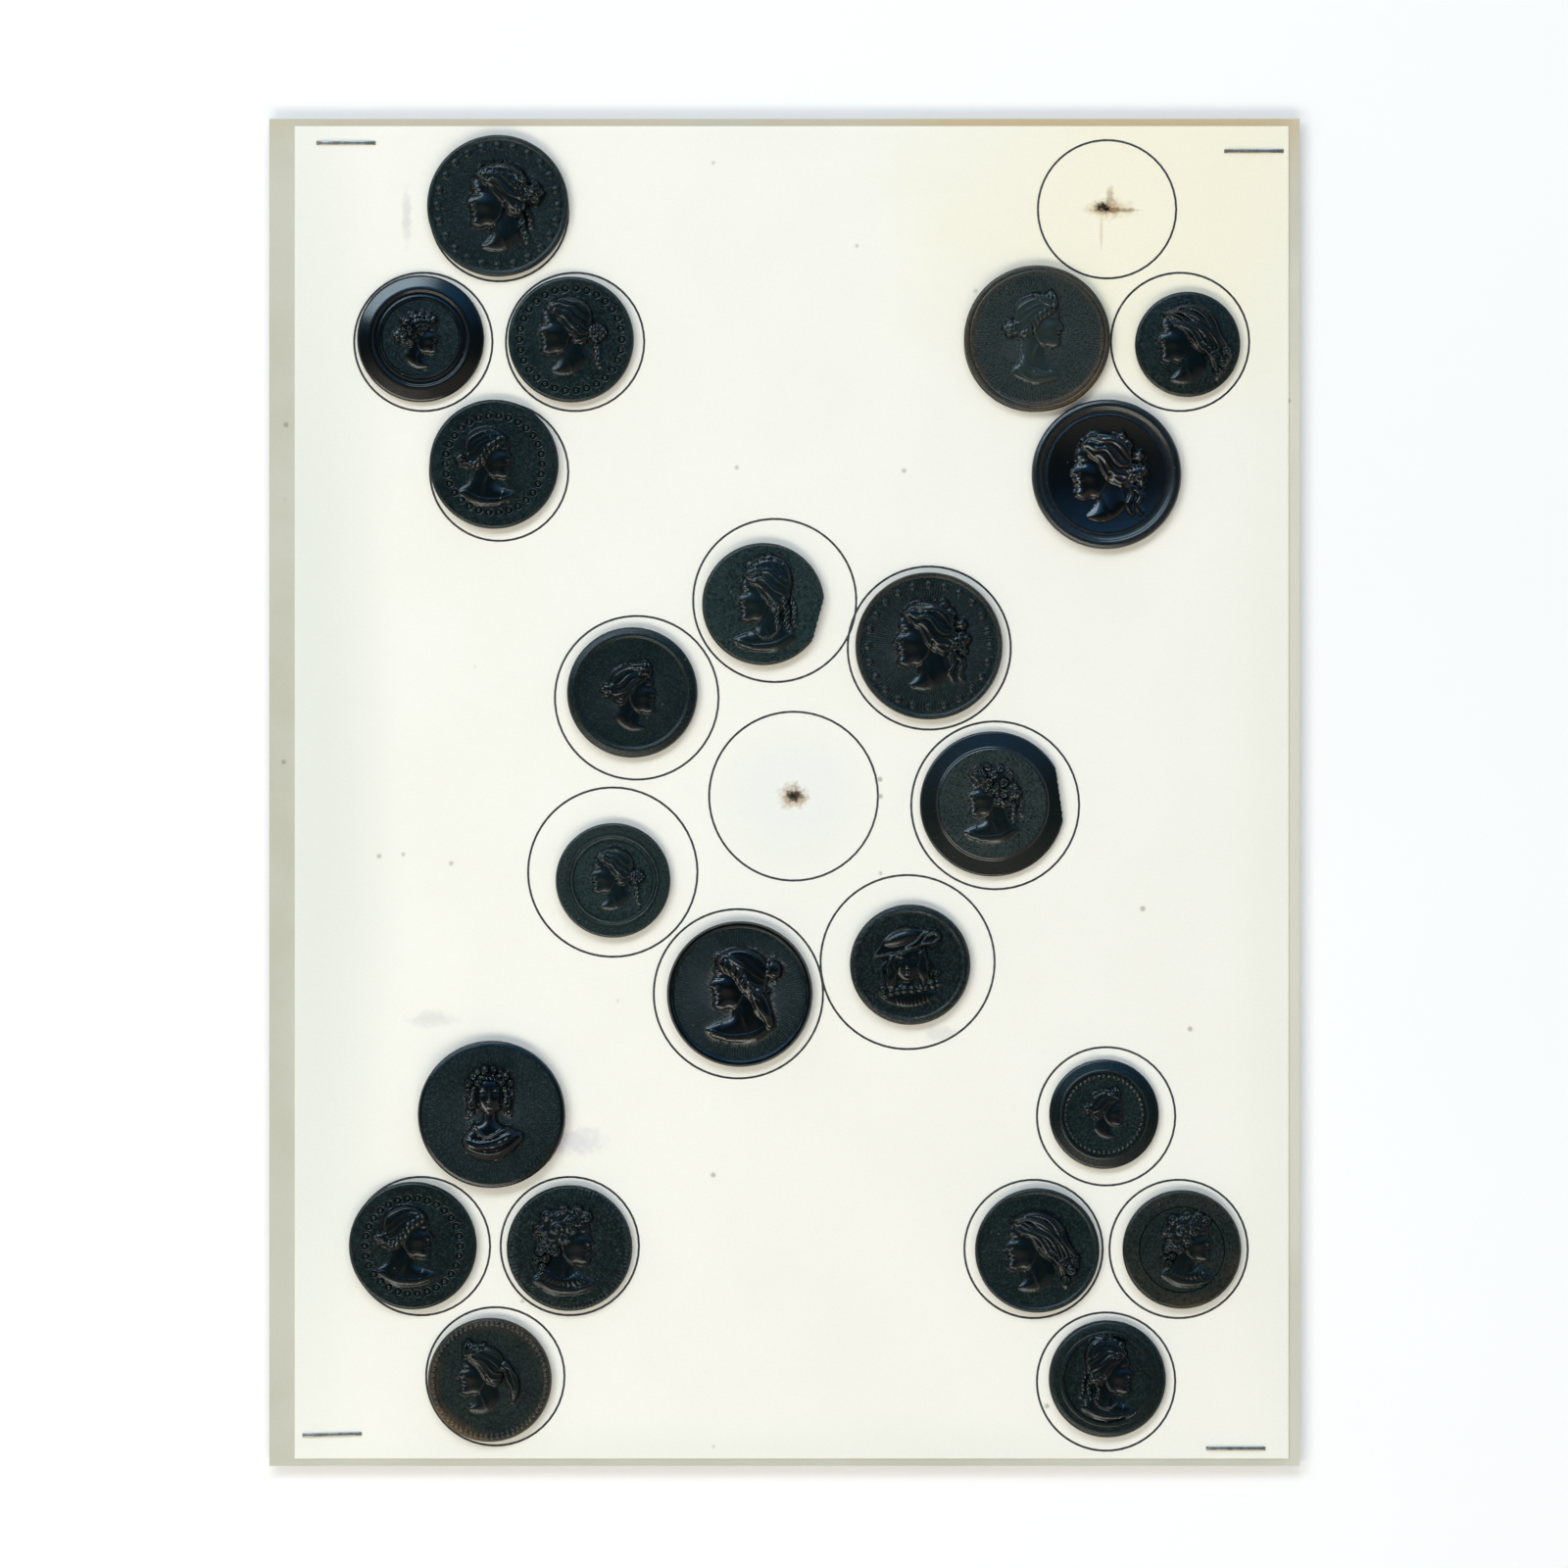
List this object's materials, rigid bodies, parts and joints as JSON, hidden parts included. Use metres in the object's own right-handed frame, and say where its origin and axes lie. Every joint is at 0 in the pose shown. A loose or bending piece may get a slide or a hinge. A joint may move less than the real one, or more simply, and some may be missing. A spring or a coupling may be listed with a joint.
{
  "type": "card of buttons",
  "caption": "Stapled board and printed sheet with circles, carrying round black relief-head buttons whose wire shanks pass through the card and are held behind it by short wires.",
  "frame": {"origin": "middle of the card on the surface that it lies on, under the lowest wire loops", "axes": "+X across the card to the right of its front, +Y up the card's length, +Z out of its front"},
  "size_m": [0.216, 0.2824, 0.0098],
  "materials": {
    "board": "grey-beige pasteboard, matte, darker towards the edges",
    "sheet": "off-white uncoated paper, yellowed at one corner",
    "ink": "matte black printing ink",
    "staple_wire": "dulled galvanised wire",
    "keeper_wire": "dull soft iron wire",
    "shank_brass": "tarnished brass",
    "polished_glass": "opaque black glass, fire polished",
    "satin_glass": "opaque black glass, satin",
    "dyed_horn": "black dyed horn, brown where thin"
  },
  "bodies": {
    "root": {"backing_board": "board", "layout_sheet": "sheet", "printed_rings": "ink", "staples": "staple_wire", "keepers": "keeper_wire", "button_upper_left_top": "satin_glass", "shank_upper_left_top": "shank_brass", "button_upper_left_left": "polished_glass", "shank_upper_left_left": "shank_brass", "button_upper_left_right": "satin_glass", "shank_upper_left_right": "shank_brass", "button_upper_left_bottom": "satin_glass", "shank_upper_left_bottom": "shank_brass", "button_upper_right_left": "dyed_horn", "shank_upper_right_left": "shank_brass", "button_upper_right_right": "satin_glass", "shank_upper_right_right": "shank_brass", "button_upper_right_bottom": "polished_glass", "shank_upper_right_bottom": "shank_brass", "button_centre_top": "satin_glass", "shank_centre_top": "shank_brass", "button_centre_upper_right": "satin_glass", "shank_centre_upper_right": "shank_brass", "button_centre_right": "polished_glass", "shank_centre_right": "shank_brass", "button_centre_lower_right": "satin_glass", "shank_centre_lower_right": "shank_brass", "button_centre_bottom": "polished_glass", "shank_centre_bottom": "shank_brass", "button_centre_lower_left": "satin_glass", "shank_centre_lower_left": "shank_brass", "button_centre_upper_left": "satin_glass", "shank_centre_upper_left": "shank_brass", "button_lower_left_top": "polished_glass", "shank_lower_left_top": "shank_brass", "button_lower_left_left": "satin_glass", "shank_lower_left_left": "shank_brass", "button_lower_left_right": "satin_glass", "shank_lower_left_right": "shank_brass", "button_lower_left_bottom": "dyed_horn", "shank_lower_left_bottom": "shank_brass", "button_lower_right_top": "satin_glass", "shank_lower_right_top": "shank_brass", "button_lower_right_left": "satin_glass", "shank_lower_right_left": "shank_brass", "button_lower_right_right": "dyed_horn", "shank_lower_right_right": "shank_brass", "button_lower_right_bottom": "satin_glass", "shank_lower_right_bottom": "shank_brass"}
  },
  "joints": []
}
